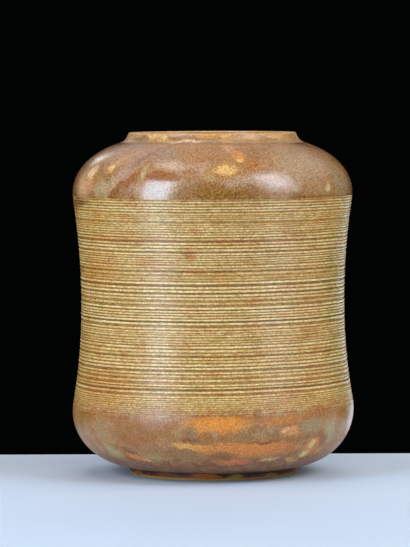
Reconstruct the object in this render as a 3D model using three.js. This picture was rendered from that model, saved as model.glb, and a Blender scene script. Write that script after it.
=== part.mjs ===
// A waisted cylindrical stoneware vase, thrown in sections and luted together.
// Lengths are millimetres. The vase stands on z = 0 and its axis is +Z.
import * as THREE from "three";

// Foot: a turned ring that the base disc and the bowl both stand on.
const footRadius = 74.6;
const footHeight = 6.5;
const footWidth = 10;
const footChamfer = 0.8;

// Base disc: the floor of the vase, seated on the inner part of the foot.
const discThickness = 9;
const discInset = 6;

// Lower bowl: from the foot out to the belly, the widest point below.
const bellyRadius = 124.2;
const bowlRise = 49;
const bowlLeaveAngle = THREE.MathUtils.degToRad(4);

// Combed wall: the hollow of the waist between the belly and the shoulder.
const waistDepth = 8;
const waistAboveBelly = 95;
const bodyLength = 192;
const hollowShare = 0.9; // share of each half of the body that curves inwards

// Shoulder: a dome from its widest point in to the seat of the neck.
const shoulderInset = 0.9; // how much narrower the shoulder is than the belly
const shoulderRise = 43.6;
const shoulderLeaveAngle = THREE.MathUtils.degToRad(23);
const shoulderThickness = 7;

// Neck: a short collar that sweeps up from the dome and leans in to a rounded lip.
const neckSeatRadius = 81.2;
const collarHeight = 8.9;
const collarSweepRadius = 9.2; // of the hollow between the dome and the collar
const collarLean = THREE.MathUtils.degToRad(28.4); // from upright
const lipRound = 1;
const mouthRadius = 69;

// Walls and seams. A tongue on each lower section stands inside the section above it.
const wallThickness = 8;
const tongueWidth = 4;
const tongueHeight = 4;
const slipGap = 0.3; // room for the luting slip beside each tongue

// Combing: ridges left between the grooves that a tool cut while the wheel turned.
const combPitch = 2.75;
const combPitchSpread = 0.48; // share by which a pitch strays
const combDepth = 0.7;
const combAboveBelly = 5;
const combBelowShoulder = 2.5;
const fineRidges = 9; // ridges at the bottom, where the tool was drawn up slowly
const finePitchShare = 0.68;
const combFadeHeight = 20; // the grooves reach their full depth over this height

// Facets
const segments = 36;
const curveSteps = 9;
const wallSteps = 6;

// Radii and heights worked out from the sizes above.
const waistRadius = bellyRadius - waistDepth;
const shoulderRadius = bellyRadius - shoulderInset;
const bellyZ = footHeight + bowlRise;
const waistZ = bellyZ + waistAboveBelly;
const shoulderZ = bellyZ + bodyLength;
const neckSeatZ = shoulderZ + shoulderRise;
const rimZ = neckSeatZ + collarHeight;
const combBottomZ = bellyZ + combAboveBelly;
const combTopZ = shoulderZ - combBelowShoulder;
const discTopZ = footHeight + discThickness;
const discRadius = footRadius - discInset;

// Ellipse of the shoulder, and its slope where the neck takes over.
const shoulderSemiR = (shoulderRadius - neckSeatRadius) / (1 - Math.sin(shoulderLeaveAngle));
const shoulderSemiZ = shoulderRise / Math.cos(shoulderLeaveAngle);
const seatSlope = Math.atan(shoulderSemiZ * Math.tan(shoulderLeaveAngle) / shoulderSemiR);

const point = (radius, height) => new THREE.Vector2(radius, height);

// Points of an ellipse arc between two angles, both ends included.
function ellipseArc(centreR, centreZ, semiR, semiZ, from, to, steps) {
  return Array.from({ length: steps + 1 }, (_, i) => {
    const angle = from + ((to - from) * i) / steps;
    return point(centreR + semiR * Math.cos(angle), centreZ + semiZ * Math.sin(angle));
  });
}

// Radius of the smooth outer wall between the belly and the shoulder.
// Each half is a hollow parabola that turns into a full one near the swelling.
function bodyRadius(z) {
  const below = z < waistZ;
  const swell = below ? bellyRadius : shoulderRadius;
  const reach = below ? waistZ - bellyZ : shoulderZ - waistZ;
  const t = Math.min(Math.abs(z - waistZ) / reach, 1);
  const share = t < hollowShare ? t * t / hollowShare : 1 - (1 - t) ** 2 / (1 - hollowShare);
  return waistRadius + (swell - waistRadius) * share;
}

const innerRadius = (z) => bodyRadius(z) - wallThickness;

// Evenly spaced points of the plain wall from one height to another.
function wallPoints(radiusAt, fromZ, toZ, steps) {
  return Array.from({ length: steps + 1 }, (_, i) => {
    const z = fromZ + ((toZ - fromZ) * i) / steps;
    return point(radiusAt(z), z);
  });
}

// Top edge of a lower section, from its outside in: a seat, then the tongue.
function seatAndTongue(z, outer, innerLow, innerHigh) {
  const tongue = innerLow + tongueWidth - slipGap;
  return [
    point(outer, z),
    point(tongue, z),
    point(tongue, z + tongueHeight),
    point(innerHigh, z + tongueHeight),
    point(innerLow, z),
  ];
}

// Bottom edge of an upper section, from its inside out: over the tongue, then the seat.
function overTongue(z, outer, innerLow, innerHigh) {
  const rebate = innerLow + tongueWidth;
  const clear = z + tongueHeight + slipGap;
  return [point(innerHigh, clear), point(rebate, clear), point(rebate, z), point(outer, z)];
}

// A number from 0 to 1 that looks random, but is always the same for the same ridge.
function chance(k) {
  const spin = Math.sin(12.9898 * k) * 43758.5453;
  return spin - Math.floor(spin);
}

// Heights of the ridges: an uneven pitch, as of a tool held by hand, and finer at the bottom.
function ridgeHeights() {
  const count = Math.round((combTopZ - combBottomZ) / combPitch + fineRidges * (1 - finePitchShare));
  const pitches = Array.from({ length: count }, (_, k) =>
    (k < fineRidges ? finePitchShare : 1) * (1 + combPitchSpread * (2 * chance(k + 1) - 1)));
  const scale = (combTopZ - combBottomZ) / pitches.reduce((sum, pitch) => sum + pitch, 0);
  const heights = [combBottomZ];
  pitches.forEach((pitch) => heights.push(heights.at(-1) + pitch * scale));
  return heights;
}

// Depth of the groove above a ridge: uneven, and shallow at the bottom.
function grooveDepth(k, z) {
  const grown = Math.min((z - combBottomZ) / combFadeHeight, 1);
  return combDepth * (0.55 + 0.45 * chance(k + 0.5)) * (0.3 + 0.7 * grown);
}

// Outer face of the combed wall: each ridge stands on the wall, each groove is cut into it.
function combedFace() {
  const ridges = ridgeHeights();
  const face = [];
  ridges.forEach((z, k) => {
    face.push(point(bodyRadius(z), z));
    if (k + 1 < ridges.length) {
      const grooveZ = (z + ridges[k + 1]) / 2;
      face.push(point(bodyRadius(grooveZ) - grooveDepth(k, grooveZ), grooveZ));
    }
  });
  return face;
}

// A closed profile, listed outside upwards and inside downwards, turned round the axis.
function turned(name, profile, colour, roughness) {
  const geometry = new THREE.LatheGeometry(profile, segments);
  geometry.rotateX(Math.PI / 2);
  const material = new THREE.MeshStandardMaterial({ color: colour, roughness, metalness: 0 });
  const mesh = new THREE.Mesh(geometry, material);
  mesh.name = name;
  return mesh;
}

const closed = (profile) => [...profile, profile[0].clone()];

function footRing() {
  const inner = footRadius - footWidth;
  return turned("foot_ring", closed([
    point(inner + footChamfer, 0),
    point(footRadius - footChamfer, 0),
    point(footRadius, footChamfer),
    point(footRadius, footHeight),
    point(inner, footHeight),
    point(inner, footChamfer),
  ]), "#5f2f12", 0.45);
}

function baseDisc() {
  return turned("base_disc", [
    point(0, footHeight),
    point(discRadius, footHeight),
    point(discRadius, discTopZ),
    point(0, discTopZ),
  ], "#8d7a62", 0.8);
}

function lowerBowl() {
  const semiR = (bellyRadius - footRadius) / (1 - Math.sin(bowlLeaveAngle));
  const semiZ = bowlRise / Math.cos(bowlLeaveAngle);
  const outside = ellipseArc(bellyRadius - semiR, bellyZ, semiR, semiZ,
    bowlLeaveAngle - Math.PI / 2, 0, curveSteps);
  const innerFoot = discRadius + slipGap;
  const innerReach = innerRadius(bellyZ) - innerFoot;
  const inside = ellipseArc(innerFoot, bellyZ, innerReach, bellyZ - discTopZ,
    0, -Math.PI / 2, curveSteps);
  return turned("lower_bowl", closed([
    ...outside,
    ...wallPoints(bodyRadius, bellyZ, combBottomZ, 2).slice(1, -1),
    ...seatAndTongue(combBottomZ, bodyRadius(combBottomZ), innerRadius(combBottomZ),
      innerRadius(combBottomZ + tongueHeight)),
    ...inside,
    point(innerFoot, footHeight),
  ]), "#b06f3c", 0.4);
}

function combedWall() {
  const innerTop = innerRadius(combTopZ + tongueHeight);
  const innerStart = combBottomZ + tongueHeight + slipGap;
  return turned("combed_wall", closed([
    ...combedFace().slice(0, -1),
    ...seatAndTongue(combTopZ, bodyRadius(combTopZ), innerRadius(combTopZ), innerTop),
    ...wallPoints(innerRadius, innerStart, combTopZ, wallSteps).reverse().slice(1, -1),
    ...overTongue(combBottomZ, bodyRadius(combBottomZ), innerRadius(combBottomZ),
      innerRadius(innerStart)).slice(0, -1),
  ]), "#b8955a", 0.45);
}

function shoulder() {
  const outside = ellipseArc(shoulderRadius - shoulderSemiR, shoulderZ, shoulderSemiR, shoulderSemiZ,
    0, Math.PI / 2 - shoulderLeaveAngle, curveSteps);
  const innerReach = innerRadius(shoulderZ) - mouthRadius;
  const inside = ellipseArc(mouthRadius, shoulderZ, innerReach, shoulderRise - shoulderThickness,
    Math.PI / 2, 0, curveSteps);
  const clearZ = combTopZ + tongueHeight + slipGap;
  return turned("shoulder", closed([
    point(bodyRadius(combTopZ), combTopZ),
    ...outside.slice(0, -1),
    ...seatAndTongue(neckSeatZ, neckSeatRadius, mouthRadius, mouthRadius),
    ...inside.filter((p) => p.y > clearZ),
    ...overTongue(combTopZ, bodyRadius(combTopZ), innerRadius(combTopZ),
      innerRadius(combTopZ + tongueHeight)).slice(0, -1),
  ]), "#a9744a", 0.35);
}

function neckCollar() {
  const sweep = ellipseArc(neckSeatRadius + collarSweepRadius * Math.sin(seatSlope),
    neckSeatZ + collarSweepRadius * Math.cos(seatSlope), collarSweepRadius, collarSweepRadius,
    -Math.PI / 2 - seatSlope, -Math.PI + collarLean, 5);
  const sweepEnd = sweep.at(-1);
  const lipZ = rimZ - lipRound;
  const lipRadius = sweepEnd.x - (lipZ - sweepEnd.y) * Math.tan(collarLean);
  return turned("neck_collar", closed([
    ...sweep,
    point(lipRadius, lipZ),
    point(lipRadius - lipRound, rimZ),
    point(mouthRadius + lipRound, rimZ),
    point(mouthRadius, lipZ),
    ...overTongue(neckSeatZ, neckSeatRadius, mouthRadius, mouthRadius).slice(0, -1),
  ]), "#c4864e", 0.35);
}

const vase = new THREE.Group();
vase.add(footRing(), baseDisc(), lowerBowl(), combedWall(), shoulder(), neckCollar());

export default vase;
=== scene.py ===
import math
import random
from collections import namedtuple

import bpy
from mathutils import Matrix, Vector


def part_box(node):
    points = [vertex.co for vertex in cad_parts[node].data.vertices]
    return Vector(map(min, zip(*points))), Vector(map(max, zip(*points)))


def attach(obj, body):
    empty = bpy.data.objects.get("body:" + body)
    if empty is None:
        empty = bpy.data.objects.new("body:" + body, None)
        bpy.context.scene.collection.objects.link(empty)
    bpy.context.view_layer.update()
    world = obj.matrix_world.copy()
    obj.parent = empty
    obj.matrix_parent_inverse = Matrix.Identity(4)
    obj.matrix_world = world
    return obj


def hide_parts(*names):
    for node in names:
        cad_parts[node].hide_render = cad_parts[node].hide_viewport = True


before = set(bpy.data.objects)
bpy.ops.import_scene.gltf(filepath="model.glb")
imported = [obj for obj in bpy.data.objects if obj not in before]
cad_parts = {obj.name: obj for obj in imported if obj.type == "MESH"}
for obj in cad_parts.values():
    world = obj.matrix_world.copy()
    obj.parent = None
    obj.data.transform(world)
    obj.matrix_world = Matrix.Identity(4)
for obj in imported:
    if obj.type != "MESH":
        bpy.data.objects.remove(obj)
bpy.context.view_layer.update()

MM = 0.001


# Sizes read from the frame

def top(node):
    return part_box(node)[1].z / MM


def bottom(node):
    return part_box(node)[0].z / MM


def radius(node):
    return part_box(node)[1].x / MM


FOOT_RADIUS = radius("foot_ring")
FOOT_TOP = top("foot_ring")
DISC_RADIUS = radius("base_disc")
FLOOR_Z = top("base_disc")
BELLY_RADIUS = radius("lower_bowl")
COMB_BOTTOM = bottom("combed_wall")
COMB_TOP = bottom("shoulder")
SHOULDER_RADIUS = radius("shoulder")
NECK_SEAT_RADIUS = radius("neck_collar")
NECK_SEAT_Z = bottom("neck_collar")
RIM_Z = top("neck_collar")

# Sizes that the frame doesn't give
FOOT_WIDTH = 10
FOOT_ROUND = 0.8
FOOT_TAPER = 0.6
COMB_ABOVE_BELLY = 5
COMB_BELOW_SHOULDER = 2.5
BELLY_Z = COMB_BOTTOM - COMB_ABOVE_BELLY
SHOULDER_Z = COMB_TOP + COMB_BELOW_SHOULDER
WAIST_DEPTH = 8
WAIST_RADIUS = BELLY_RADIUS - WAIST_DEPTH
WAIST_ABOVE_BELLY = 95
WAIST_Z = BELLY_Z + WAIST_ABOVE_BELLY
HOLLOW_SHARE = 0.9
BOWL_LEAVE_ANGLE = math.radians(4)
SHOULDER_LEAVE_ANGLE = math.radians(23)
SHOULDER_THICKNESS = 7
COLLAR_SWEEP = 9.2
COLLAR_LEAN = math.radians(28.4)
LIP_ROUND = 1.2
MOUTH_RADIUS = 69
WALL = 8
TONGUE_WIDTH = 4
TONGUE_HEIGHT = 4
SLIP_GAP = 0.3

# The shoulder's ellipse, and its slope where the neck takes over
SHOULDER_SEMI_R = (SHOULDER_RADIUS - NECK_SEAT_RADIUS) / (1 - math.sin(SHOULDER_LEAVE_ANGLE))
SHOULDER_SEMI_Z = (NECK_SEAT_Z - SHOULDER_Z) / math.cos(SHOULDER_LEAVE_ANGLE)
SEAT_SLOPE = math.atan(SHOULDER_SEMI_Z * math.tan(SHOULDER_LEAVE_ANGLE) / SHOULDER_SEMI_R)

# Combing
COMB_PITCH = 2.75
COMB_DEPTH = 0.7
FINE_RIDGES = 9
FINE_PITCH_SHARE = 0.68
PITCH_SPREAD = 0.48
COMB_FADE_HEIGHT = 20
CREST_HALF_WIDTH = 0.7
CREST_SHARE = 0.22  # the most of a gap that half a crest takes
GROOVE_HALF_WIDTH = 0.36
GROOVE_SHARE = 0.14
WIDE_GAP = 3.3  # from here on the gap has two grooves, with a plain stretch between them
PLAIN_CUT = 0.45
COMB_EDGE = 1  # the combing rises out of the plain wall over this height
COMB_GLAZE_EDGE = 12  # the ochre of the combing comes in over this height

# Unevenness of the hand: the rings lean by LEAN, a slope, from LEAN_FOOT up, and level out at LEAN_RIM
LEAN = 0.0105
LEAN_FOOT = 60
LEAN_RIM = 260
WANDER = 0.6
DENT = 0.25
THROWING_SEED = 3.7

# How often each of these changes, per metre: a change of pressure is about 36 mm long, a dent 33 and a drift 90
PRESSURE_SCALE = 28.0
DENT_SCALE = 30.0
DRIFT_SCALE = 11.0

# Throwing rings that the fingers left on the inside of the wall
RING_PITCH = 12
RING_HEIGHT = 0.5

SEGMENTS = 192
ARC_STEPS = 64
CREASE_ANGLE = math.radians(62)  # a sharper edge than this stays crisp


# Outlines

def ellipse_arc(centre_r, centre_z, semi_r, semi_z, start, end, steps):
    """Points (radius, height) along an ellipse arc, both ends included."""
    angles = [start + (end - start) * i / steps for i in range(steps + 1)]
    return [(centre_r + semi_r * math.cos(a), centre_z + semi_z * math.sin(a)) for a in angles]


def body_radius(z):
    """The smooth outer wall: a hollow parabola that turns into a full one near each swelling."""
    below = z < WAIST_Z
    swell = BELLY_RADIUS if below else SHOULDER_RADIUS
    reach = WAIST_Z - BELLY_Z if below else SHOULDER_Z - WAIST_Z
    t = min(abs(z - WAIST_Z) / reach, 1)
    share = t * t / HOLLOW_SHARE if t < HOLLOW_SHARE else 1 - (1 - t) ** 2 / (1 - HOLLOW_SHARE)
    return WAIST_RADIUS + (swell - WAIST_RADIUS) * share


def inner_radius(z):
    return body_radius(z) - WALL


def wall_points(radius_at, start, end, steps):
    heights = [start + (end - start) * i / steps for i in range(steps + 1)]
    return [(radius_at(z), z) for z in heights]


def seat_and_tongue(z, outer, inner_low, inner_high):
    """Top edge of a lower section, from the outside in."""
    tongue = inner_low + TONGUE_WIDTH - SLIP_GAP
    return [(outer, z), (tongue, z), (tongue, z + TONGUE_HEIGHT), (inner_high, z + TONGUE_HEIGHT), (inner_low, z)]


def over_tongue(z, outer, inner_low, inner_high):
    """Bottom edge of an upper section, from the inside out."""
    rebate = inner_low + TONGUE_WIDTH
    clear = z + TONGUE_HEIGHT + SLIP_GAP
    return [(inner_high, clear), (rebate, clear), (rebate, z), (outer, z)]


def ringed_radius(z):
    """The inner wall with its throwing rings."""
    return inner_radius(z) - RING_HEIGHT * math.sin(math.pi * z / RING_PITCH) ** 2


def chance(k):
    """A number from 0 to 1 that looks random, but is always the same for the same ridge."""
    spin = math.sin(12.9898 * k) * 43758.5453
    return spin - math.floor(spin)


def ridge_heights():
    """Heights of the ridges: an uneven pitch, as of a tool held by hand, and finer at the bottom."""
    count = round((COMB_TOP - COMB_BOTTOM) / COMB_PITCH + FINE_RIDGES * (1 - FINE_PITCH_SHARE))
    pitches = [(FINE_PITCH_SHARE if k < FINE_RIDGES else 1) * (1 + PITCH_SPREAD * (2 * chance(k + 1) - 1))
               for k in range(count)]
    scale = (COMB_TOP - COMB_BOTTOM) / sum(pitches)
    heights = [COMB_BOTTOM]
    for pitch in pitches:
        heights.append(heights[-1] + pitch * scale)
    return heights


def ridge_strength(k):
    """How far a ridge stands out, from 0 to 1. Three neighbours at a time share half of it, as on a worn comb."""
    return 0.3 + 0.35 * chance(k + 0.25) + 0.35 * chance(k // 3 + 0.75)


def groove_strength(k):
    """How deep the groove above a ridge is cut, from 0 to 1."""
    return 0.56 + 0.28 * chance(k + 0.5)


def combed_face():
    """Outer points of the combed wall as (radius, height, cut, ridge).

    cut is how far the point lies below the wall, as a share of the deepest groove. ridge is 0.5 on a plain
    stretch, rises towards 1 on a crest and sinks towards 0 in a groove.
    """
    heights = ridge_heights()
    crests = [ridge_strength(k) for k in range(len(heights))]
    face = []
    for k, (low, high) in enumerate(zip(heights, heights[1:])):
        gap = high - low
        crest = min(CREST_HALF_WIDTH, CREST_SHARE * gap)
        groove = min(GROOVE_HALF_WIDTH, GROOVE_SHARE * gap)
        depth = groove_strength(k) * (0.38 + 0.4 * (crests[k] + crests[k + 1]))
        face.append((low, 0.5 * (1 - crests[k]), 0.5 + 0.5 * crests[k]))
        face.append((low + crest, 0.5 * (1 - crests[k]), 0.5 + 0.4 * crests[k]))
        centres = [(low + high) / 2]
        if gap > WIDE_GAP:
            centres = [low + crest + 2 * groove, high - crest - 2 * groove]
        for centre in centres:
            face.append((centre - groove, depth, 0.5 - 0.5 * depth))
            face.append((centre + groove, depth, 0.5 - 0.5 * depth))
            if centre != centres[-1]:
                face.append(((low + high) / 2, PLAIN_CUT, 0.5))
        face.append((high - crest, 0.5 * (1 - crests[k + 1]), 0.5 + 0.4 * crests[k + 1]))
    face.append((heights[-1], 0.0, 0.5))
    points = []
    for z, cut, ridge in face:
        grown = 0.2 + 0.8 * min((z - COMB_BOTTOM) / COMB_FADE_HEIGHT, 1)
        edge = min(z - COMB_BOTTOM, COMB_TOP - z, COMB_EDGE) / COMB_EDGE
        points.append((body_radius(z), z, cut * grown * edge, 0.5 + (ridge - 0.5) * grown))
    return points


# Outlines of the sections: outer points, then the seams and the inner points, as (radius, height)

def foot_ring_outline():
    inner = FOOT_RADIUS - FOOT_WIDTH
    low_radius = FOOT_RADIUS - FOOT_TAPER
    low_edge = ellipse_arc(inner + FOOT_ROUND, FOOT_ROUND, FOOT_ROUND, FOOT_ROUND, math.pi, 1.5 * math.pi, 5)
    outer_edge = ellipse_arc(low_radius - FOOT_ROUND, FOOT_ROUND, FOOT_ROUND, FOOT_ROUND, -math.pi / 2, 0, 5)
    outer_wall = wall_points(lambda z: low_radius + FOOT_TAPER * (z - FOOT_ROUND) / (FOOT_TOP - FOOT_ROUND),
                             FOOT_ROUND, FOOT_TOP, 8)[1:]
    return outer_edge + outer_wall, [(inner, FOOT_TOP)] + low_edge


def base_disc_outline():
    rings = [DISC_RADIUS * i / 24 for i in range(25)]
    return [(r, FOOT_TOP) for r in rings], [(r, FLOOR_Z) for r in reversed(rings)]


def lower_bowl_outline():
    semi_r = (BELLY_RADIUS - FOOT_RADIUS) / (1 - math.sin(BOWL_LEAVE_ANGLE))
    semi_z = (BELLY_Z - FOOT_TOP) / math.cos(BOWL_LEAVE_ANGLE)
    outside = ellipse_arc(BELLY_RADIUS - semi_r, BELLY_Z, semi_r, semi_z,
                          BOWL_LEAVE_ANGLE - math.pi / 2, 0, ARC_STEPS)
    outside += wall_points(body_radius, BELLY_Z, COMB_BOTTOM, 6)[1:]
    inner_foot = DISC_RADIUS + SLIP_GAP
    inside = seat_and_tongue(COMB_BOTTOM, body_radius(COMB_BOTTOM), inner_radius(COMB_BOTTOM),
                             inner_radius(COMB_BOTTOM + TONGUE_HEIGHT))[1:]
    inside += ellipse_arc(inner_foot, BELLY_Z, inner_radius(BELLY_Z) - inner_foot, BELLY_Z - FLOOR_Z,
                          0, -math.pi / 2, ARC_STEPS // 2)
    return outside, inside + [(inner_foot, FOOT_TOP)]


def combed_wall_inside():
    inner_top = inner_radius(COMB_TOP + TONGUE_HEIGHT)
    start = COMB_BOTTOM + TONGUE_HEIGHT + SLIP_GAP
    inside = seat_and_tongue(COMB_TOP, body_radius(COMB_TOP), inner_radius(COMB_TOP), inner_top)[1:]
    inside += wall_points(ringed_radius, COMB_TOP, start, 60)[1:-1]
    return inside + over_tongue(COMB_BOTTOM, body_radius(COMB_BOTTOM), inner_radius(COMB_BOTTOM),
                                inner_radius(start))[:-1]


def shoulder_outline():
    outside = wall_points(body_radius, COMB_TOP, SHOULDER_Z, 3)[:-1]
    outside += ellipse_arc(SHOULDER_RADIUS - SHOULDER_SEMI_R, SHOULDER_Z, SHOULDER_SEMI_R, SHOULDER_SEMI_Z,
                           0, math.pi / 2 - SHOULDER_LEAVE_ANGLE, ARC_STEPS)
    clear = COMB_TOP + TONGUE_HEIGHT + SLIP_GAP
    dome = ellipse_arc(MOUTH_RADIUS, SHOULDER_Z, inner_radius(SHOULDER_Z) - MOUTH_RADIUS,
                       NECK_SEAT_Z - SHOULDER_THICKNESS - SHOULDER_Z, math.pi / 2, 0, ARC_STEPS // 2)
    inside = seat_and_tongue(NECK_SEAT_Z, NECK_SEAT_RADIUS, MOUTH_RADIUS, MOUTH_RADIUS)[1:]
    inside += [(r, z) for r, z in dome if z > clear]
    return outside, inside + over_tongue(COMB_TOP, body_radius(COMB_TOP), inner_radius(COMB_TOP),
                                         inner_radius(COMB_TOP + TONGUE_HEIGHT))[:-1]


def neck_collar_outline():
    sweep = ellipse_arc(NECK_SEAT_RADIUS + COLLAR_SWEEP * math.sin(SEAT_SLOPE),
                        NECK_SEAT_Z + COLLAR_SWEEP * math.cos(SEAT_SLOPE), COLLAR_SWEEP, COLLAR_SWEEP,
                        -math.pi / 2 - SEAT_SLOPE, -math.pi + COLLAR_LEAN, 20)
    sweep_r, sweep_z = sweep[-1]
    lip_z = RIM_Z - LIP_ROUND
    lip_radius = sweep_r - (lip_z - sweep_z) * math.tan(COLLAR_LEAN)
    outer_lip = ellipse_arc(lip_radius - LIP_ROUND, lip_z, LIP_ROUND, LIP_ROUND, 0, math.pi / 2, 8)
    inner_lip = ellipse_arc(MOUTH_RADIUS + LIP_ROUND, lip_z, LIP_ROUND, LIP_ROUND, math.pi / 2, math.pi, 8)
    return sweep + outer_lip, inner_lip + over_tongue(NECK_SEAT_Z, NECK_SEAT_RADIUS, MOUTH_RADIUS,
                                                      MOUTH_RADIUS)[:-1]


# Nodes

def add(tree, kind, inputs=None, **settings):
    """Adds a node, sets its settings, and fills each input with a value or a link."""
    node = tree.nodes.new(kind)
    for name, value in settings.items():
        setattr(node, name, value)
    for key, value in (inputs or {}).items():
        if isinstance(value, bpy.types.NodeSocket):
            tree.links.new(value, node.inputs[key])
        else:
            node.inputs[key].default_value = value
    return node


def turned_section_tree():
    """Turns a profile round the axis, cuts its grooves and gives it the slight unevenness of hand throwing."""
    tree = bpy.data.node_groups.new("turned_section", "GeometryNodeTree")
    face = tree.interface
    face.new_socket("Profile", in_out="INPUT", socket_type="NodeSocketGeometry")
    for name, kind in (("Segments", "NodeSocketInt"), ("Groove Depth", "NodeSocketFloat"),
                       ("Wander", "NodeSocketFloat"), ("Dent", "NodeSocketFloat"),
                       ("Lean", "NodeSocketFloat"), ("Lean Foot", "NodeSocketFloat"),
                       ("Lean Rim", "NodeSocketFloat"), ("Seed", "NodeSocketFloat"),
                       ("Outside", "NodeSocketMaterial"), ("Inside", "NodeSocketMaterial")):
        face.new_socket(name, in_out="INPUT", socket_type=kind)
    face.new_socket("Section", in_out="OUTPUT", socket_type="NodeSocketGeometry")
    given = tree.nodes.new("NodeGroupInput").outputs

    # The profile and the circle that it is swept round
    profile = add(tree, "GeometryNodeMeshToCurve", {"Mesh": given["Profile"]})
    place = add(tree, "GeometryNodeInputPosition")
    kept = add(tree, "GeometryNodeCaptureAttribute", {"Geometry": profile.outputs["Curve"]})
    kept.capture_items.new("VECTOR", "Place")
    tree.links.new(place.outputs[0], kept.inputs["Place"])
    circle = add(tree, "GeometryNodeCurvePrimitiveCircle", {"Resolution": given["Segments"], "Radius": 1.0})
    index = add(tree, "GeometryNodeInputIndex")
    turn = add(tree, "ShaderNodeMath", {0: index.outputs[0], 1: given["Segments"]}, operation="DIVIDE")
    angle = add(tree, "ShaderNodeMath", {0: turn.outputs[0], 1: 2 * math.pi}, operation="MULTIPLY")
    around = add(tree, "GeometryNodeCaptureAttribute", {"Geometry": circle.outputs["Curve"]})
    around.capture_items.new("FLOAT", "Angle")
    tree.links.new(angle.outputs[0], around.inputs["Angle"])
    swept = add(tree, "GeometryNodeCurveToMesh", {"Curve": around.outputs["Geometry"],
                                                  "Profile Curve": kept.outputs["Geometry"]})

    # The smooth place of each point: its own radius and height at its angle
    parts = add(tree, "ShaderNodeSeparateXYZ", {0: kept.outputs["Place"]})
    sine = add(tree, "ShaderNodeMath", {0: around.outputs["Angle"]}, operation="SINE")
    cosine = add(tree, "ShaderNodeMath", {0: around.outputs["Angle"]}, operation="COSINE")
    outward = add(tree, "ShaderNodeCombineXYZ", {"X": cosine.outputs[0], "Y": sine.outputs[0]})
    ring = add(tree, "ShaderNodeVectorMath", {0: outward.outputs[0], "Scale": parts.outputs["X"]}, operation="SCALE")
    level = add(tree, "ShaderNodeCombineXYZ", {"Z": parts.outputs["Z"]})
    smooth = add(tree, "ShaderNodeVectorMath", {0: ring.outputs[0], 1: level.outputs[0]}, operation="ADD")
    shifted = add(tree, "ShaderNodeCombineXYZ", {"X": given["Seed"], "Y": given["Seed"], "Z": given["Seed"]})
    sample = add(tree, "ShaderNodeVectorMath", {0: smooth.outputs[0], 1: shifted.outputs[0]}, operation="ADD")

    # Grooves: each point's cut, deeper and shallower along the groove
    cut = add(tree, "GeometryNodeInputNamedAttribute", {"Name": "cut"}, data_type="FLOAT")
    press = add(tree, "ShaderNodeTexNoise", {"Vector": sample.outputs[0], "Scale": PRESSURE_SCALE, "Detail": 2.0})
    pressed = add(tree, "ShaderNodeMapRange", {"Value": press.outputs["Fac"], "From Min": 0.3, "From Max": 0.7,
                                               "To Min": 0.7, "To Max": 1.1})
    groove = add(tree, "ShaderNodeMath", {0: cut.outputs["Attribute"], 1: pressed.outputs["Result"]},
                 operation="MULTIPLY")
    sunk = add(tree, "ShaderNodeMath", {0: groove.outputs[0], 1: given["Groove Depth"]}, operation="MULTIPLY")
    dent = add(tree, "ShaderNodeTexNoise", {"Vector": sample.outputs[0], "Scale": DENT_SCALE, "Detail": 1.0})
    dented = add(tree, "ShaderNodeMath", {0: dent.outputs["Fac"], 1: given["Dent"]}, operation="MULTIPLY")
    inward = add(tree, "ShaderNodeMath", {0: sunk.outputs[0], 1: dented.outputs[0]}, operation="ADD")
    pulled = add(tree, "ShaderNodeMath", {0: inward.outputs[0], 1: -1.0}, operation="MULTIPLY")
    inset = add(tree, "ShaderNodeVectorMath", {0: outward.outputs[0], "Scale": pulled.outputs[0]}, operation="SCALE")

    # The comb's hand: the rings lean, most low down, and wander up and down. Foot and neck stay level.
    height = parts.outputs["Z"]
    rise = add(tree, "ShaderNodeMapRange", {"Value": height, "From Min": FOOT_TOP * MM,
                                            "From Max": given["Lean Foot"]}, interpolation_type="SMOOTHSTEP")
    fall = add(tree, "ShaderNodeMapRange", {"Value": height, "From Min": given["Lean Foot"],
                                            "From Max": given["Lean Rim"], "To Min": 1.0, "To Max": 0.0})
    share = add(tree, "ShaderNodeMath", {0: rise.outputs["Result"], 1: fall.outputs["Result"]},
                operation="MULTIPLY")
    slope = add(tree, "ShaderNodeMath", {0: share.outputs[0], 1: given["Lean"]}, operation="MULTIPLY")
    across = add(tree, "ShaderNodeSeparateXYZ", {0: smooth.outputs[0]})
    leaned = add(tree, "ShaderNodeMath", {0: across.outputs["X"], 1: slope.outputs[0]}, operation="MULTIPLY")
    drift = add(tree, "ShaderNodeTexNoise", {"Vector": sample.outputs[0], "Scale": DRIFT_SCALE, "Detail": 2.0})
    centred = add(tree, "ShaderNodeMath", {0: drift.outputs["Fac"], 1: 0.5}, operation="SUBTRACT")
    wander = add(tree, "ShaderNodeMath", {0: centred.outputs[0], 1: given["Wander"]}, operation="MULTIPLY")
    steady = add(tree, "ShaderNodeMapRange", {"Value": height, "From Min": given["Lean Rim"],
                                              "From Max": NECK_SEAT_Z * MM, "To Min": 1.0, "To Max": 0.0})
    free = add(tree, "ShaderNodeMath", {0: rise.outputs["Result"], 1: steady.outputs["Result"]},
               operation="MULTIPLY")
    wandered = add(tree, "ShaderNodeMath", {0: wander.outputs[0], 1: free.outputs[0]}, operation="MULTIPLY")
    lift = add(tree, "ShaderNodeMath", {0: leaned.outputs[0], 1: wandered.outputs[0]}, operation="ADD")
    lifted = add(tree, "ShaderNodeCombineXYZ", {"Z": lift.outputs[0]})
    moved = add(tree, "ShaderNodeVectorMath", {0: smooth.outputs[0], 1: inset.outputs[0]}, operation="ADD")
    final = add(tree, "ShaderNodeVectorMath", {0: moved.outputs[0], 1: lifted.outputs[0]}, operation="ADD")
    placed = add(tree, "GeometryNodeSetPosition", {"Geometry": swept.outputs["Mesh"], "Position": final.outputs[0]})

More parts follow.
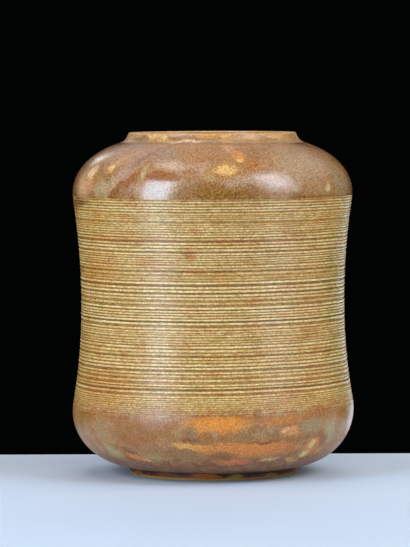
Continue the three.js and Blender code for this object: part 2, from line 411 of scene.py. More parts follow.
    # Closed poles, crisp seams, then the finishes
    merged = add(tree, "GeometryNodeMergeByDistance", {"Geometry": placed.outputs["Geometry"], "Distance": 1e-6})
    rounded = add(tree, "GeometryNodeSetShadeSmooth", {"Geometry": merged.outputs["Geometry"],
                                                       "Shade Smooth": True}, domain="FACE")
    fold = add(tree, "GeometryNodeInputMeshEdgeAngle")
    sharp = add(tree, "FunctionNodeCompare", {"A": fold.outputs["Unsigned Angle"], "B": CREASE_ANGLE},
                data_type="FLOAT", operation="GREATER_THAN")
    creased = add(tree, "GeometryNodeSetShadeSmooth", {"Geometry": rounded.outputs["Geometry"],
                                                       "Selection": sharp.outputs["Result"],
                                                       "Shade Smooth": False}, domain="EDGE")
    real = add(tree, "GeometryNodeRealizeInstances", {"Geometry": creased.outputs["Geometry"]})
    outer = add(tree, "GeometryNodeSetMaterial", {"Geometry": real.outputs["Geometry"],
                                                  "Material": given["Outside"]})
    hidden = add(tree, "GeometryNodeInputNamedAttribute", {"Name": "inside"}, data_type="FLOAT")
    within = add(tree, "FunctionNodeCompare", {"A": hidden.outputs["Attribute"], "B": 0.5},
                 data_type="FLOAT", operation="GREATER_THAN")
    both_sides = add(tree, "GeometryNodeSetMaterial", {"Geometry": outer.outputs["Geometry"],
                                                       "Selection": within.outputs["Result"],
                                                       "Material": given["Inside"]})
    add(tree, "NodeGroupOutput", {"Section": both_sides.outputs["Geometry"]})
    return tree


def turned_piece(name, tree, outer, inner, closed, outside, inside):
    """A section turned from its profile.

    Outer points are (radius, height, cut, ridge), as in combed_face, and inner ones are (radius, height).
    """
    points = [(r, z, cut, ridge, 0.0) for r, z, cut, ridge in outer] + [(r, z, 0.0, 0.0, 1.0) for r, z in inner]
    edges = [(i, i + 1) for i in range(len(points) - 1)] + ([(len(points) - 1, 0)] if closed else [])
    profile = bpy.data.meshes.new(name + "_profile")
    profile.from_pydata([(r * MM, 0, z * MM) for r, z, *_ in points], edges, [])
    for column, attribute in enumerate(("cut", "ridge", "inside"), start=2):
        values = profile.attributes.new(attribute, "FLOAT", "POINT")
        values.data.foreach_set("value", [p[column] for p in points])
    holder = bpy.data.objects.new(name + "_profile", profile)
    bpy.context.scene.collection.objects.link(holder)
    modifier = holder.modifiers.new("Turned", "NODES")
    modifier.node_group = tree
    sockets = {item.name: item.identifier for item in tree.interface.items_tree if item.in_out == "INPUT"}
    for socket, value in (("Segments", SEGMENTS), ("Groove Depth", COMB_DEPTH * MM), ("Wander", WANDER * MM),
                          ("Dent", DENT * MM), ("Lean", LEAN), ("Lean Foot", LEAN_FOOT * MM),
                          ("Lean Rim", LEAN_RIM * MM), ("Seed", THROWING_SEED), ("Outside", outside),
                          ("Inside", inside)):
        modifier[sockets[socket]] = value
    graph = bpy.context.evaluated_depsgraph_get()
    mesh = bpy.data.meshes.new_from_object(holder.evaluated_get(graph), preserve_all_data_layers=True,
                                           depsgraph=graph)
    bpy.data.objects.remove(holder)
    piece = bpy.data.objects.new(name, mesh)
    bpy.context.scene.collection.objects.link(piece)
    return piece


# Colours

def linear(code):
    """An sRGB hex colour as linear RGBA."""
    channels = [int(code[i:i + 2], 16) / 255 for i in (1, 3, 5)]
    return [c / 12.92 if c <= 0.04045 else ((c + 0.055) / 1.055) ** 2.4 for c in channels] + [1.0]


CARAMEL = "#ad7839"
TAN = "#c89f78"
MAUVE = "#ae8672"
ORANGE_BROWN = "#b06a26"
OLIVE = "#8e6220"
GREY_GREEN = "#b09c72"
CREAM = "#fee5a8"
SAND = "#e3bf78"
OCHRE = "#c4984c"
GROOVE_BROWN = "#70500a"
SPECK_DARK = "#d4c49b"
SPECK_LIGHT = "#665039"
IRON_BLACK_AND_PAINTED_SHADE = "#1e0c04"
IRON_BROWN = "#8a3200"
LINER_BROWN = "#a8763f"
CLAY = "#b39a78"
CLAY_SHADE = "#8c7252"
GROG = "#6e5a44"
WARM_STAIN = "#f6c894"
COOL_STAIN = "#dcd6a4"


# Pools: patches of another colour, most of them places where the glaze ran thick or thin and fired to another
# colour; a few are painted highlights, painted shade or a painted cool tint, each marked where it stands. The angle
# goes round the vase in degrees from the front, the half width and half height are in millimetres, a positive tilt
# in degrees lifts the right end, and edge is the share over which a pool fades.

Pool = namedtuple("Pool", "angle height half_width half_height tone strength tilt edge", defaults=(0.85, 0, 0.7))
WHOLE_TURN = 10000


def ring(height, half_height, tone, strength, edge=0.8):
    """A pool that runs all the way round."""
    return Pool(0, height, WHOLE_TURN, half_height, tone, strength, 0, edge)


SHOULDER_RINGS_WITH_PAINTED_HIGHLIGHT = (
    ring(282, 14, "#c49c82", 0.5, 1.4),
    ring(247, 4, "#9a6a24", 0.75, 1.2),
    ring(245.4, 0.8, "#84561c", 0.7),
    # A darker line in the crease at the foot of the neck, and above it a pale line that is a painted highlight along
    # the crease
    ring(291.2, 0.9, "#7c5a42", 0.75),
    ring(292.7, 0.7, "#d8bca2", 0.55),
)
SHOULDER_POOLS_WITH_PAINTED_SHEEN = (
    # Broad clouds: tan and mauve high up, grey-green to the right, pink far to the left
    Pool(-12, 286, 32, 6, "#c89d78", 0.6, 0, 1.2),
    Pool(-44, 283, 24, 9, "#cca48e", 0.75, 0, 1.2),
    Pool(44, 272, 28, 13, "#c0a488", 0.85, 0, 1.2),
    Pool(66, 260, 18, 14, "#b09878", 0.9, 0, 1.2),
    Pool(60, 281, 13, 3.4, "#b07c40", 0.7, 0, 1.2),
    Pool(-66, 257, 16, 12, "#eeb88e", 0.95, 0, 1.2),
    Pool(-38, 271, 20, 6, "#c69e8c", 0.85, 48, 1.2),
    Pool(-34, 279, 12, 2.6, "#9a7a68", 0.7, 42, 1.2),
    Pool(-23, 281, 10, 6, "#b49c8a", 0.8, 0, 1.1),
    Pool(-47, 277.5, 8, 4.4, "#dea678", 0.75, 30, 1.1),
    Pool(-51, 252, 12, 7, "#bea882", 0.85, 0, 1.2),
    Pool(-45, 259, 4.6, 4.6, "#bfa884", 0.8, 0, 1.0),
    # Brown and olive above the combing, drawn up into streaks at the left
    Pool(4, 252, 37, 8, "#94641f", 0.9, 0, 1.0),
    # A paler, greyer patch where the left highlight falls, which paints part of that highlight into the glaze
    Pool(-22, 252, 11, 6, "#a68860", 0.8, 0, 1.2),
    Pool(52, 250, 26, 5, "#ae8a5c", 0.85, 0, 1.2),
    Pool(44, 245.6, 30, 1.6, "#96601c", 0.8, 0, 1.0),
    Pool(-43, 250.6, 13, 3, "#96591c", 0.95, 50, 0.9),
    Pool(-36, 260.4, 9, 3.6, "#9c5c22", 0.95, 42, 1.0),
    Pool(-22, 264.6, 17, 3.6, "#a05c2c", 0.95, 0, 1.0),
    Pool(-28, 247, 11, 3, "#b0742a", 0.85, 0, 1.2),
    # Paler and greener patches between them
    Pool(-30, 267.6, 3, 5.4, "#ccb486", 0.9, 0, 1.0),
    Pool(-1.6, 265, 6, 3.8, "#bca276", 0.85, 0, 1.2),
    Pool(-4, 272, 10, 5, "#c29a80", 0.8, 0, 1.2),
    Pool(9, 260, 12, 4.6, "#ba987e", 0.85, 0, 1.2),
    Pool(18, 274, 8, 5, "#b87a3e", 0.85, 0, 1.2),
    Pool(46, 288.2, 17, 1.7, "#c28e5c", 0.8, 0, 1.0),
    # Spots where the rutile gathered, yellow and orange, the larger ones in a brown halo
    Pool(-64, 266, 8.4, 9, "#c08a4c", 0.7, 22, 1.0),
    Pool(-63, 265.6, 6.4, 6, "#ffd8a0", 1.0, 22, 0.7),
    Pool(-49.4, 269.6, 3.6, 3.4, "#ffcc8a", 1.0, 0, 0.7),
    Pool(-55.8, 285.8, 6.6, 1.3, "#edb592", 0.9, 8, 0.8),
    Pool(5, 269, 13, 6.8, "#b6823c", 0.8, 0, 1.0),
    Pool(5.5, 270, 8.8, 4.4, "#f2c27a", 1.0, 0, 0.9),
    Pool(8.4, 286.6, 4, 2, "#e6b090", 0.85, -8, 1.2),
    Pool(12.2, 281, 4.6, 4.4, "#e8a468", 0.9, -22, 1.2),
    Pool(13.4, 278.6, 3.6, 2.4, "#ee9a48", 0.9, -18, 1.2),
    Pool(12.8, 276.6, 3.2, 1.3, "#f4c674", 0.95, -8, 1.0),
    Pool(54.2, 253.3, 3, 3.4, "#e2d09c", 1.0, 0, 1.0),
)
NECK_POOLS_WITH_PAINTED_HIGHLIGHTS = (
    ring(297.5, 3.6, "#d6a46a", 0.75, 0.7),
    Pool(-62, 296.5, 15, 3.2, "#c29c78", 0.85),
    Pool(-43, 298.7, 8, 1.8, "#e8bc84", 0.9),
    Pool(-22, 296.3, 14, 1.6, "#92642e", 0.8, 0, 0.9),
    Pool(-3, 298.4, 7.4, 2.6, "#e49e48", 0.95, 0, 0.8),
    Pool(4, 296, 4.4, 1.3, "#a87646", 0.8),
    Pool(9, 299.2, 7.4, 1.4, "#e8b470", 0.8),
    Pool(27, 298.6, 10.4, 1.9, "#d88e14", 0.95, 0, 0.8),
    Pool(46, 297.5, 12.4, 2.3, "#e0b07c", 0.85),
    Pool(68, 296.5, 9, 3.2, "#a8885a", 0.85),
    Pool(-54, 294.6, 12, 2.4, "#9a7458", 0.85, 0, 1.0),
    Pool(-34, 297, 4.6, 1.6, "#ecc07c", 0.9, 0, 1.0),
    Pool(-13, 295.4, 10, 1.6, "#a67444", 0.8, 0, 1.0),
    Pool(17, 296.6, 8, 1.6, "#b8824e", 0.85, 0, 1.0),
    Pool(36, 295.6, 9, 1.6, "#a87c50", 0.85, 0, 1.0),
    # A darker band round the crease; a pale streak along the crease to the left, which is a painted highlight; a pale
    # line round the lip, where the glaze breaks thin, with a painted highlight in it
    ring(291.8, 2.2, "#a88868", 0.6, 0.7),
    Pool(-18, 292.8, 15, 0.9, "#ecccb4", 0.9, 0, 1.0),
    ring(300.2, 1.1, "#ecc496", 0.6, 0.7),
)
# Laid by multiplying, so that the crests and the grooves still show
COMB_POOLS_WITH_PAINTED_COOL_LIGHT = (
    # Glaze that ran down from the shoulder over the first ridges
    Pool(-76, 240, 30, 3.6, "#b49c88", 0.95, 0, 1.0),
    # Warmer and cooler stretches of the wall
    Pool(-42, 211, 46, 5, "#f0c48e", 0.7, 0, 1.2),
    Pool(12, 208, 34, 4, "#f0ca94", 0.7, 0, 1.2),
    Pool(-58, 183, 26, 18, "#f8d2aa", 0.6, 0, 1.2),
    Pool(-50, 84, 34, 16, "#f2c896", 0.7, 0, 1.2),
    Pool(30, 78, 30, 9, "#eccf94", 0.6, 0, 1.2),
    # A cool tint down the right side of the combing: painted cool light and pale reflection from the lamps on that
    # side
    Pool(70, 150, 28, 110, "#eaf8ff", 1.0, 0, 1.2),
    # Three red spots
    Pool(-7, 217.7, 5.4, 2.6, "#f0a070", 0.6),
    Pool(-9, 197.9, 4.5, 5.3, "#f0a070", 0.5),
    Pool(-7, 183.5, 9, 2.6, "#f2b070", 0.6),
)
BOWL_RINGS_WITH_PAINTED_SHADE = (
    ring(38, 24, "#a8661a", 0.75, 1.2),
    ring(15, 6.5, "#8e4800", 0.95, 1.0),
    # A near-black line where the bowl meets the foot: painted shade in the join under the bowl's overhang
    ring(7, 1.8, "#2c1206", 0.95, 1.0),
)
BOWL_POOLS = (
    # The left side: brown under the combing, grey-green and one orange streak near the foot
    Pool(-64, 56, 14, 9, "#9a6a22", 0.8, 0, 1.2),
    Pool(-51, 43, 9.5, 15, "#a6824e", 0.85, 0, 1.2),
    Pool(-34, 47, 27, 9, "#9c6012", 0.8, 0, 1.2),
    Pool(-24, 52, 12, 4, "#a87048", 0.8, 0, 1.2),
    Pool(-33, 37, 13, 4.4, "#a8622a", 0.8, 0, 1.2),
    Pool(-28, 31, 13, 4.4, "#a4794a", 0.8, 0, 1.2),
    Pool(-10, 27, 19, 5.4, "#9c6e3e", 0.8, 0, 1.2),
    Pool(-49.5, 25.6, 11, 4.4, "#b8a46c", 0.9, -30, 1.0),
    Pool(-27.5, 23.6, 8.4, 4, "#b09660", 0.9, -4, 1.1),
    Pool(-38, 26.4, 9, 3.4, "#84480c", 0.85, -20, 1.0),
    Pool(-36.5, 23, 8.8, 3.4, "#e08a48", 1.0, -14, 0.9),
    Pool(-31.5, 20.4, 5.4, 1.1, "#e8a870", 0.9, -14, 0.9),
    # The middle: two bands of orange with brown between them, and yellow streaks along their edges
    Pool(2, 54, 25, 7.6, "#ec9430", 0.95, 0, 1.0),
    Pool(28, 56, 20, 3.6, "#cc7e2e", 0.9, 0, 1.1),
    Pool(43, 50, 15.5, 6, "#a49062", 0.85, 0, 1.2),
    Pool(17, 43.4, 21, 4.2, "#a0763c", 0.9, 0, 1.2),
    Pool(19.5, 43.4, 6.4, 2.6, "#b8946a", 0.7, 0, 1.2),
    Pool(16, 31.8, 38, 6.8, "#ea8c36", 0.95, 0, 1.0),
    Pool(-9, 46, 6, 4, "#987248", 0.85, 0, 1.2),
    Pool(-10, 41, 10, 1.7, "#884c08", 0.9, 0, 1.0),
    Pool(21, 37.4, 15, 1.3, "#8a5008", 0.9, 0, 1.0),
    Pool(-12, 35.4, 11, 2.2, "#e6a850", 1.0, 0, 0.9),
    Pool(-5, 34.4, 8, 3.3, "#e8963e", 0.95, -8, 1.0),
    Pool(32.5, 45.9, 9, 3.6, "#e29a58", 0.95, -4, 1.0),
    Pool(29.4, 46.6, 3.6, 1.9, "#f0b680", 0.95, 0, 1.0),
    Pool(4, 26, 10, 3.4, "#8a5826", 0.85, 0, 1.1),
    Pool(9, 20.4, 14, 2.8, "#e07c38", 0.9, 0, 1.0),
    Pool(26, 21.3, 9, 1.5, "#ecb878", 0.9, 4, 0.9),
    Pool(38.8, 19.8, 7.4, 2.3, "#e6aa5c", 0.9, 0, 1.0),
    # The right side: olive, grey-green, and a cluster of yellow spots in brown
    Pool(66, 56, 9.5, 8.4, "#966c14", 0.85, 0, 1.2),
    Pool(66, 42, 10, 8.4, "#a8885c", 0.8, 0, 1.2),
    Pool(55, 41, 10, 11, "#aca076", 0.95, 0, 1.1),
    Pool(49.5, 34, 11.4, 10, "#925418", 0.95, 0, 0.8),
    Pool(46.5, 30.4, 9.8, 8.4, "#dc8c40", 0.95, 0, 0.8),
    Pool(45.4, 33.6, 3.4, 4.8, "#ecc070", 1.0, 22, 0.9),
    Pool(44, 24.4, 4.8, 3, "#ecd48a", 1.0, 0, 0.9),
    Pool(53, 27, 4.2, 4.2, "#e0964a", 0.9, 20, 0.9),
)
# A near-black band round the top of the foot, under the bowl: painted shade in the join
FOOT_PAINTED_SHADE_RING = (ring(6.6, 2.2, IRON_BLACK_AND_PAINTED_SHADE, 0.95, 1.0),)
FOOT_POOLS = (
    Pool(-5, 4.4, 14, 2.6, "#c85e00", 0.9),
    Pool(-34, 4, 9, 2.2, "#8a3c00", 0.8),
    ring(0.9, 1.2, "#bc9034", 0.9, 0.7),
    Pool(14, 3, 8, 2.6, "#b89440", 0.9, 0, 0.9),
    Pool(42, 3.2, 7, 2.2, "#b8883c", 0.85),
    Pool(79, 4.5, 3.4, 4, "#d09840", 0.9),
    Pool(-62, 3.2, 9, 2.4, "#8e5208", 0.8),
)


def round_the_back(pools, seed):
    """Every second pool again, spread over the side away from the front in other sizes and heights."""
    dice = random.Random(seed)
    turned_on = []
    for pool in pools[::2]:
        if pool.half_width < WHOLE_TURN:
            turned_on.append(pool._replace(
                angle=180 + 1.6 * pool.angle + dice.uniform(-12, 12), height=pool.height + dice.uniform(-3, 3),
                half_width=pool.half_width * dice.uniform(0.8, 1.5), tilt=-pool.tilt))
    return tuple(turned_on)


# Materials

# What a glaze is laid with: its node tree, object coordinates in millimetres, and the same torn out of line by
# a few millimetres, so that the edge of a pool is ragged.
Surface = namedtuple("Surface", "tree place torn")
TEAR = 3.0
POOL_RADIUS = 105


def new_tree(name):
    material = bpy.data.materials.new(name)
    material.use_nodes = True
    material.node_tree.nodes.clear()
    return material, material.node_tree


def noise(tree, vector, size, seed=0.0, flatness=1.0, detail=5.0, roughness=0.62):
    """A noise node in clouds of about that size in millimetres, drawn out round the vase by flatness."""
    spread = add(tree, "ShaderNodeMapping", {"Vector": vector, "Location": (3.1 * seed, 5.7 * seed, 7.3 * seed),
                                             "Scale": (1 / size, 1 / size, flatness / size)})
    return add(tree, "ShaderNodeTexNoise", {"Vector": spread.outputs[0], "Scale": 1.0, "Detail": detail,
                                            "Roughness": roughness})


def clouds(surface, size, seed, flatness=1.0, detail=5.0):
    return noise(surface.tree, surface.place, size, seed, flatness, detail).outputs["Fac"]


def between(tree, value, low, high):
    """Runs from low to high as a noise's value goes from faint to full."""
    node = add(tree, "ShaderNodeMapRange", {"Value": value, "From Min": 0.3, "From Max": 0.7, "To Min": low,
                                            "To Max": high})
    return node.outputs["Result"]


def new_surface(tree):
    coordinates = add(tree, "ShaderNodeTexCoord")
    place = add(tree, "ShaderNodeVectorMath", {0: coordinates.outputs["Object"], "Scale": 1 / MM},
                operation="SCALE").outputs[0]
    swirl = noise(tree, place, 12, detail=5.0, roughness=0.6)
    centred = add(tree, "ShaderNodeVectorMath", {0: swirl.outputs["Color"], 1: (0.5, 0.5, 0.5)},
                  operation="SUBTRACT")
    pull = add(tree, "ShaderNodeVectorMath", {0: centred.outputs[0], "Scale": 4 * TEAR}, operation="SCALE")
    torn = add(tree, "ShaderNodeVectorMath", {0: place, 1: pull.outputs[0]}, operation="ADD")
    return Surface(tree, place, torn.outputs[0])


def over(surface, under, tone, value, none, full, strength=1.0, blend="MIX"):
    """Lays a tone over a colour: none of it where value is at none, its whole strength where value is at full."""
    share = add(surface.tree, "ShaderNodeMapRange", {"Value": value, "From Min": none, "From Max": full,
                                                     "To Max": strength}, interpolation_type="SMOOTHSTEP")
    mix = add(surface.tree, "ShaderNodeMix", {"Factor": share.outputs["Result"], "A": under, "B": linear(tone)},
              data_type="RGBA", blend_type=blend)
    return mix.outputs["Result"]


def pooled(surface, colour, pools, blend="MIX"):
    """Lays each pool over the glaze: an ellipse on the wall, with a torn edge unless it is a thin ring."""
    for pool in pools:
        turn = math.radians(pool.angle)
        centre = (POOL_RADIUS * math.sin(turn), -POOL_RADIUS * math.cos(turn), pool.height)
        size = (pool.half_width, max(POOL_RADIUS, pool.half_width), pool.half_height)
        straight = pool.half_width == WHOLE_TURN and pool.half_height < 2
        near = add(surface.tree, "ShaderNodeMapping", {
            "Vector": surface.place if straight else surface.torn, "Location": centre,
            "Rotation": (0, -math.radians(pool.tilt), turn), "Scale": size}, vector_type="TEXTURE")
        distance = add(surface.tree, "ShaderNodeVectorMath", {0: near.outputs[0]}, operation="LENGTH")
        colour = over(surface, colour, pool.tone, distance.outputs["Value"], 1 + pool.edge / 2,
                      1 - pool.edge / 2, pool.strength, blend)
    return colour


def flowing_glaze(surface, rings, pools=()):
    """The colour of the glaze that runs over the whole outside, so that no seam shows between two sections."""
    colour = linear(CARAMEL)
    colour = over(surface, colour, MAUVE, clouds(surface, 30, 1), 0.45, 0.56, 0.8)
    colour = over(surface, colour, ORANGE_BROWN, clouds(surface, 18, 2), 0.48, 0.6, 0.7)
    colour = pooled(surface, colour, rings)
    colour = over(surface, colour, OLIVE, clouds(surface, 12, 3), 0.47, 0.64, 0.5)
    colour = over(surface, colour, TAN, clouds(surface, 9, 4), 0.48, 0.66, 0.45)
    colour = over(surface, colour, GREY_GREEN, clouds(surface, 7, 7), 0.5, 0.66, 0.6)
    colour = over(surface, colour, ORANGE_BROWN, clouds(surface, 5, 9), 0.5, 0.66, 0.55)
    return pooled(surface, colour, pools)


def speckled(surface, colour, strength):
    """Fine specks of iron and of rutile, drawn about 1.5 mm wide, as much as the view from 3 m can show."""
    colour = over(surface, colour, SPECK_DARK, clouds(surface, 1.5, 5, detail=2.0), 0.56, 0.42, strength, "MULTIPLY")
    colour = over(surface, colour, SPECK_LIGHT, clouds(surface, 1.4, 6, detail=2.0), 0.46, 0.6, strength, "ADD")
    dots = add(surface.tree, "ShaderNodeTexVoronoi", {"Vector": surface.place, "Scale": 1 / 7})
    return over(surface, colour, IRON_BLACK_AND_PAINTED_SHADE, dots.outputs["Distance"], 0.11, 0.05, 0.4 * strength)


def combed(surface, colour):
    """The glaze ran off the crests, where it is thin and pale, and lies thick and dark in the grooves."""
    height = add(surface.tree, "ShaderNodeSeparateXYZ", {0: surface.torn}).outputs["Z"]
    colour = over(surface, colour, OCHRE, height, COMB_BOTTOM, COMB_BOTTOM + COMB_GLAZE_EDGE, 0.92)
    ridge = add(surface.tree, "ShaderNodeAttribute", attribute_name="ridge")
    worn = add(surface.tree, "ShaderNodeMath", {
        0: ridge.outputs["Fac"], 1: between(surface.tree, clouds(surface, 5, 11, 4.0), -0.16, 0.16)},
        operation="ADD").outputs[0]
    worn = add(surface.tree, "ShaderNodeMath", {
        0: worn, 1: between(surface.tree, clouds(surface, 1.8, 14, 1.6, 2.0), -0.14, 0.14)},
        operation="ADD").outputs[0]
    colour = over(surface, colour, GROOVE_BROWN, worn, 0.48, 0.0, 0.85)
    colour = over(surface, colour, SAND, worn, 0.48, 0.78, 0.75)
    colour = over(surface, colour, CREAM, worn, 0.68, 0.98, 0.95)
    colour = over(surface, colour, WARM_STAIN, clouds(surface, 26, 12, 3.5), 0.5, 0.66, 0.6, "MULTIPLY")
    colour = over(surface, colour, COOL_STAIN, clouds(surface, 24, 13, 3.5), 0.5, 0.66, 0.7, "MULTIPLY")
    return pooled(surface, colour, COMB_POOLS_WITH_PAINTED_COOL_LIGHT, "MULTIPLY")


def fired(name, colouring, rough_low, rough_high, coat):
    """A fired surface: its colour and its faint orange peel, under a glassy skin of that weight."""
    material, tree = new_tree(name)
    surface = new_surface(tree)
    rough = between(tree, clouds(surface, 6, 21), rough_low, rough_high)
    bump = add(tree, "ShaderNodeBump", {"Height": clouds(surface, 2.5, 22, detail=3.0), "Strength": 0.45,
                                        "Distance": 0.25 * MM})
    shader = add(tree, "ShaderNodeBsdfPrincipled", {
        "Base Color": colouring(surface), "Roughness": rough, "IOR": 1.55, "Coat Weight": coat,
        "Coat Roughness": 0.13, "Coat IOR": 1.55, "Normal": bump.outputs["Normal"],
        "Coat Normal": bump.outputs["Normal"]})
    add(tree, "ShaderNodeOutputMaterial", {"Surface": shader.outputs["BSDF"]})
    return material


def shoulder_colour(surface):
    colour = flowing_glaze(surface, SHOULDER_RINGS_WITH_PAINTED_HIGHLIGHT, round_the_back(SHOULDER_POOLS_WITH_PAINTED_SHEEN, 1) + SHOULDER_POOLS_WITH_PAINTED_SHEEN)
    return speckled(surface, colour, 1.0)


def neck_colour(surface):
    colour = flowing_glaze(surface, SHOULDER_RINGS_WITH_PAINTED_HIGHLIGHT, round_the_back(NECK_POOLS_WITH_PAINTED_HIGHLIGHTS, 2) + NECK_POOLS_WITH_PAINTED_HIGHLIGHTS)
    return speckled(surface, colour, 0.8)


def combed_colour(surface):
    return speckled(surface, combed(surface, flowing_glaze(surface, BOWL_RINGS_WITH_PAINTED_SHADE)), 0.8)


def bowl_colour(surface):
    colour = flowing_glaze(surface, BOWL_RINGS_WITH_PAINTED_SHADE, round_the_back(BOWL_POOLS, 3) + BOWL_POOLS)
    return speckled(surface, colour, 0.75)


def foot_colour(surface):
    colour = over(surface, linear(IRON_BROWN), IRON_BLACK_AND_PAINTED_SHADE, clouds(surface, 6, 31, 0.6), 0.48, 0.62, 0.7)
    return pooled(surface, colour, FOOT_PAINTED_SHADE_RING + round_the_back(FOOT_POOLS, 4) + FOOT_POOLS)


def liner_colour(surface):
    return speckled(surface, over(surface, linear(LINER_BROWN), OLIVE, clouds(surface, 30, 41), 0.45, 0.62, 0.8), 0.6)


def clay_colour(surface):
    colour = over(surface, linear(CLAY), CLAY_SHADE, clouds(surface, 12, 51), 0.45, 0.65, 0.6)
    return over(surface, colour, GROG, clouds(surface, 1.6, 52, detail=2.0), 0.56, 0.72, 0.8)


# Iron and rutile glaze, brushed on thick and fired until it ran: glossy, caramel to mauve, with pools
shoulder_glaze = fired("mottled_rutile_glaze_shoulder", shoulder_colour, 0.24, 0.4, 1.0)
# The same glaze on the neck, thinner, so the pale clay below warms it and the lip breaks pale; a painted highlight
# lies along the lip too
neck_glaze = fired("mottled_rutile_glaze_neck", neck_colour, 0.3, 0.46, 0.2)
# The same glaze over combed clay, with less gloss, because its many edges scatter the light
combed_glaze = fired("rutile_glaze_on_combing", combed_colour, 0.28, 0.42, 0.12)
# The same glaze below the combing, where it ran down and pooled most, with a satin surface
bowl_glaze = fired("mottled_rutile_glaze_bowl", bowl_colour, 0.28, 0.42, 0.1)
# Thin iron glaze on the foot, dark, streaky and nearly matt, wiped from the edge that it stands on
foot_glaze = fired("thin_iron_glaze_foot", foot_colour, 0.4, 0.55, 0.0)
# Clear brown liner glaze, poured in and out again: glossy, darker where it lies thicker
liner_glaze = fired("poured_liner_glaze", liner_colour, 0.26, 0.4, 0.8)
# Unglazed stoneware, turned with a steel tool: matt and buff, with darker grog in it
bare_clay = fired("bare_turned_stoneware", clay_colour, 0.75, 0.9, 0.0)


# Pieces

def plain(points):
    return [(r, z, 0.0, 0.5) for r, z in points]


tree = turned_section_tree()
foot_outer, foot_inner = foot_ring_outline()
disc_outer, disc_inner = base_disc_outline()
bowl_outer, bowl_inner = lower_bowl_outline()
dome_outer, dome_inner = shoulder_outline()
neck_outer, neck_inner = neck_collar_outline()
pieces = (
    ("turned_foot", plain(foot_outer), foot_inner, True, foot_glaze, bare_clay, "foot_ring", "iron_foot_glaze"),
    ("floor_disc", plain(disc_outer), disc_inner, False, bare_clay, liner_glaze, "base_disc", "bare_clay"),
    ("glazed_bowl", plain(bowl_outer), bowl_inner, True, bowl_glaze, liner_glaze, "lower_bowl", "lower_glaze"),
    ("combed_body", combed_face(), combed_wall_inside(), True, combed_glaze, liner_glaze, "combed_wall",
     "combed_glaze"),
    ("glazed_shoulder", plain(dome_outer), dome_inner, True, shoulder_glaze, liner_glaze, "shoulder",
     "shoulder_glaze"),
    ("glazed_neck", plain(neck_outer), neck_inner, True, neck_glaze, neck_glaze, "neck_collar", "rim_glaze"),
)
for name, outer, inner, closed, outside, inside, node, slot in pieces:
    piece = turned_piece(name, tree, outer, inner, closed, outside, inside)
    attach(piece, "root")
    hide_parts(node)


# Table, backdrop, lamps and camera

TABLE = "#c9d9ed"
TABLE_WIDTH = 1.5
TABLE_FRONT = -0.9
TABLE_BACK = 0.136  # its back edge runs close behind the vase
TABLE_THICKNESS = 0.03
BACKDROP = "#020303"

# Board with a sprayed matt paint, so the table shows soft shadows and no reflections
table_material, table_tree = new_tree("pale_painted_board")
paint = add(table_tree, "ShaderNodeBsdfPrincipled", {
    "Base Color": linear(TABLE), "Roughness": 0.8, "Specular IOR Level": 0.2})
add(table_tree, "ShaderNodeOutputMaterial", {"Surface": paint.outputs[0]})
corners = [(x, y, z) for z in (-TABLE_THICKNESS, 0) for x, y in (
    (-TABLE_WIDTH / 2, TABLE_FRONT), (TABLE_WIDTH / 2, TABLE_FRONT), (TABLE_WIDTH / 2, TABLE_BACK),
    (-TABLE_WIDTH / 2, TABLE_BACK))]
table_mesh = bpy.data.meshes.new("table_top")
table_mesh.from_pydata(corners, [], [(3, 2, 1, 0), (4, 5, 6, 7), (0, 1, 5, 4), (1, 2, 6, 5), (2, 3, 7, 6),
                                     (3, 0, 4, 7)])
table_mesh.materials.append(table_material)
table = bpy.data.objects.new("table_top", table_mesh)
bpy.context.scene.collection.objects.link(table)

world = bpy.data.worlds.new("studio")
bpy.context.scene.world = world
world.use_nodes = True
world.node_tree.nodes.clear()
backdrop = add(world.node_tree, "ShaderNodeBackground", {"Color": linear(BACKDROP), "Strength": 1.0})
add(world.node_tree, "ShaderNodeOutputWorld", {"Surface": backdrop.outputs[0]})


LAMP_AIM = Vector((0, 0, 0.16))


def softbox(name, azimuth, elevation, distance, width, height, power, code, mirrored=True):
    """An area lamp aimed at the middle of the vase. Azimuth 0 is in front of it and 90 is to the right.

    A lamp that isn't mirrored lights the vase and gives no highlight.
    """
    lamp = bpy.data.lights.new(name, "AREA")
    lamp.shape = "RECTANGLE"
    lamp.size = width
    lamp.size_y = height
    lamp.energy = power
    lamp.color = linear(code)[:3]
    a, e = math.radians(azimuth), math.radians(elevation)
    away = Vector((math.sin(a) * math.cos(e), -math.cos(a) * math.cos(e), math.sin(e)))
    holder = bpy.data.objects.new(name, lamp)
    holder.location = LAMP_AIM + away * distance
    holder.rotation_euler = away.to_track_quat("Z", "Y").to_euler()
    holder.visible_glossy = mirrored
    bpy.context.scene.collection.objects.link(holder)


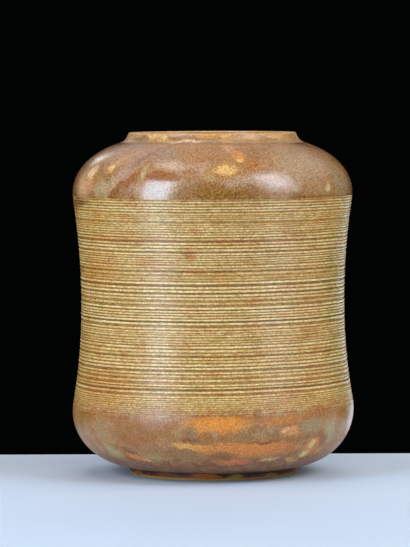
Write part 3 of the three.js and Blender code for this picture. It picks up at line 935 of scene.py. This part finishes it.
# Each of these is mirrored in the glaze, so its place and size are those of a highlight
softbox("left_softbox", -46, 15, 1.6, 0.64, 1.5, 24.5, "#d0e7ff")
softbox("right_softbox", 58, 32, 1.8, 1.0, 1.6, 12.5, "#e2f0ff")
softbox("right_softbox_core", 58, 38, 1.75, 0.5, 0.9, 5, "#e6f1ff")
softbox("top_softbox", -78, 71, 1.7, 0.62, 0.36, 2.1, "#ffeee6")
softbox("back_left_accent", -155, 26, 1.8, 0.24, 0.26, 0.3, "#ffffff")
softbox("back_left_sheen", -150, 36, 2.0, 1.6, 1.2, 1.1, "#ffffff")
softbox("back_right_sheen", 146, 42, 2.0, 1.6, 1.0, 0.9, "#ffffff")
softbox("right_rim", 154, -14, 2.0, 0.7, 0.6, 3.2, "#d8eaff")
softbox("right_low_softbox", 54, 0, 1.8, 0.6, 0.3, 0.9, "#e2f0ff")
# These give the plain level of light from all round
softbox("back_fill", 175, 35, 2.0, 1.4, 1.4, 12, "#ffffff", mirrored=False)
softbox("top_fill", 0, 82, 2.0, 1.4, 1.4, 6, "#ffffff", mirrored=False)
softbox("left_fill", -80, 30, 2.4, 1.4, 1.4, 11, "#ffd6a8", mirrored=False)
softbox("front_fill", 10, 35, 2.4, 1.4, 1.4, 9.5, "#ffdfb8", mirrored=False)
softbox("right_fill", 90, 30, 2.4, 1.4, 1.4, 17, "#fff2e0", mirrored=False)

# Camera, found from how much the rings of the combing bow at the top and at the bottom
CAMERA_DISTANCE = 2.970
CAMERA_HEIGHT = 0.349
CAMERA_LEFT = 0.0062
CAMERA_PITCH = math.radians(3.345)
CAMERA_ROLL = math.radians(0.2)
FOCAL_PIXELS = 3370
PHOTO_HEIGHT = 547
SENSOR = 36

camera_data = bpy.data.cameras.new("camera")
camera_data.sensor_width = SENSOR
camera_data.lens = SENSOR * FOCAL_PIXELS / PHOTO_HEIGHT
camera = bpy.data.objects.new("camera", camera_data)
camera.location = (-CAMERA_LEFT, -CAMERA_DISTANCE, CAMERA_HEIGHT)
camera.rotation_euler = (math.pi / 2 - CAMERA_PITCH, CAMERA_ROLL, 0)
bpy.context.scene.collection.objects.link(camera)
bpy.context.scene.camera = camera
bpy.context.scene.view_settings.view_transform = "Standard"
